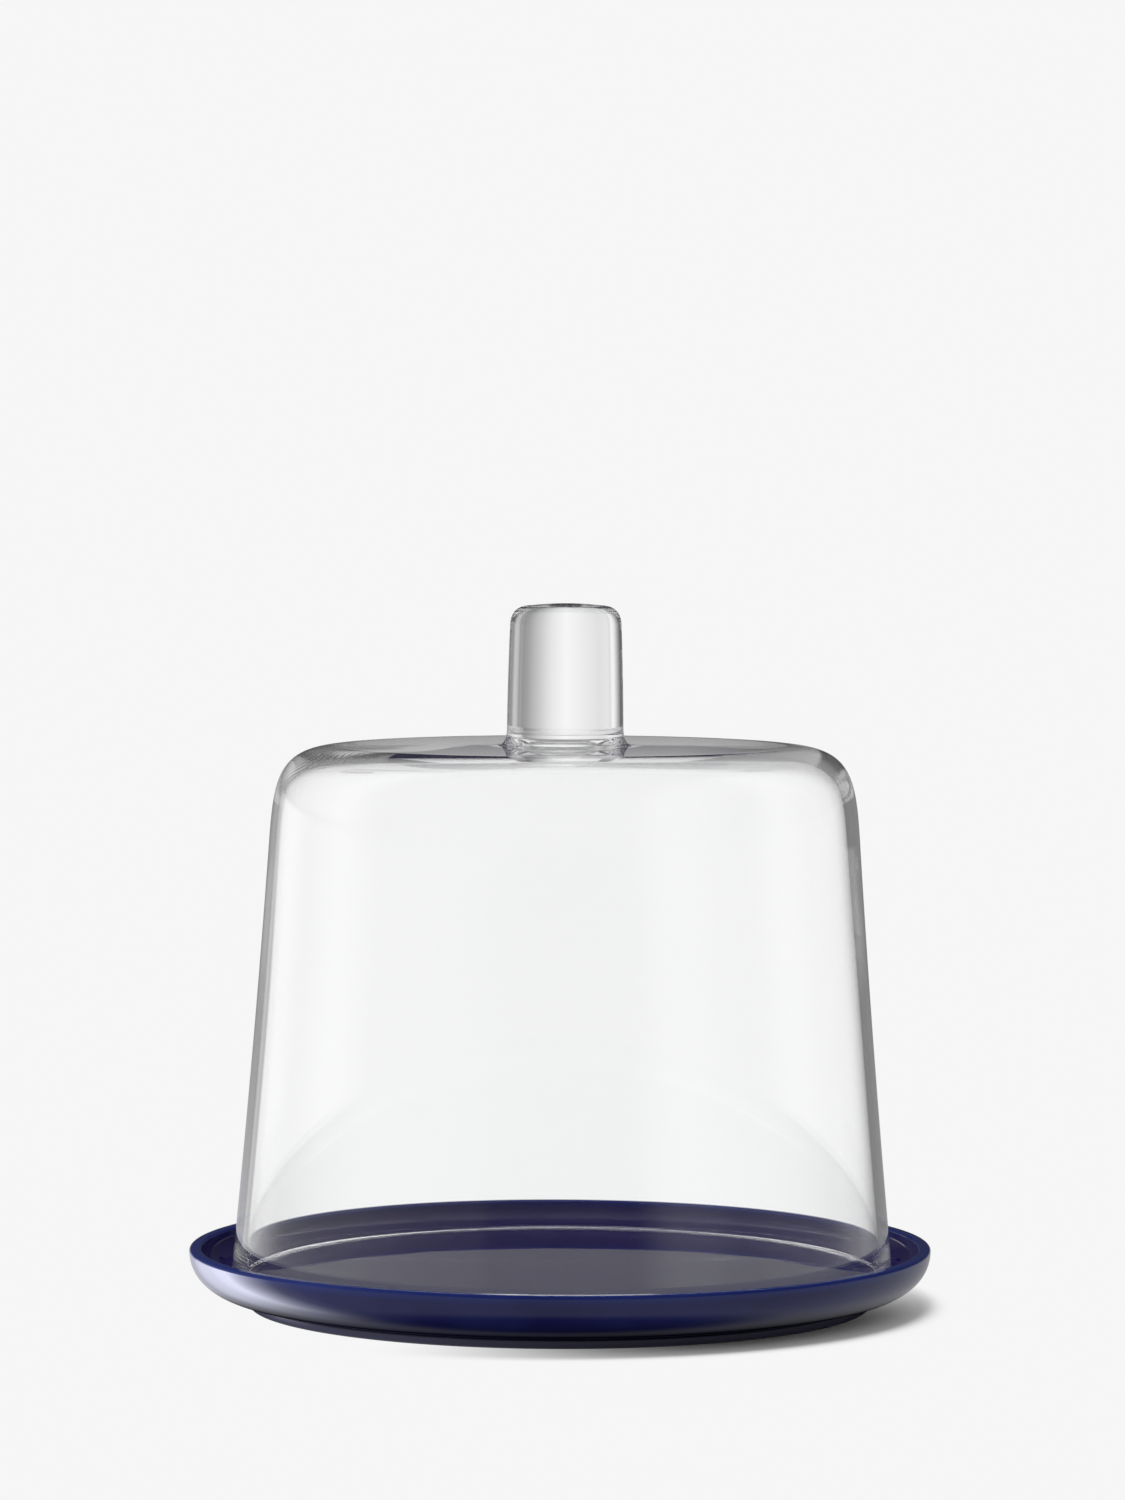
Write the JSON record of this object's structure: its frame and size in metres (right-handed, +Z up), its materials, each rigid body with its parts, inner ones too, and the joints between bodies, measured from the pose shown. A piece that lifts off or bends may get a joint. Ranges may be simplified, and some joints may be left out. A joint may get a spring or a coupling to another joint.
{
  "type": "glass cake dome",
  "caption": "Tall clear glass cake cover with a solid knob, standing in a deep-blue glazed ceramic plate with a raised rounded lip and a foot ring.",
  "frame": {"origin": "centre of the plate's foot ring, on the surface it stands on", "axes": "+Z up along the turning axis, X and Y level and free because the object is round"},
  "size_m": [0.3, 0.3, 0.284],
  "materials": {
    "blue_glaze": "deep cobalt glaze, high gloss",
    "clear_glass": "clear blown glass, polished"
  },
  "bodies": {
    "plate": {"plate": "blue_glaze"},
    "cover": {"glass_bell": "clear_glass", "glass_handle": "clear_glass"}
  },
  "joints": [
    {"name": "cover_lift", "type": "slide", "parent": "plate", "child": "cover", "axis": [0, 0, 1], "range_m": [0, 0.25]}
  ]
}
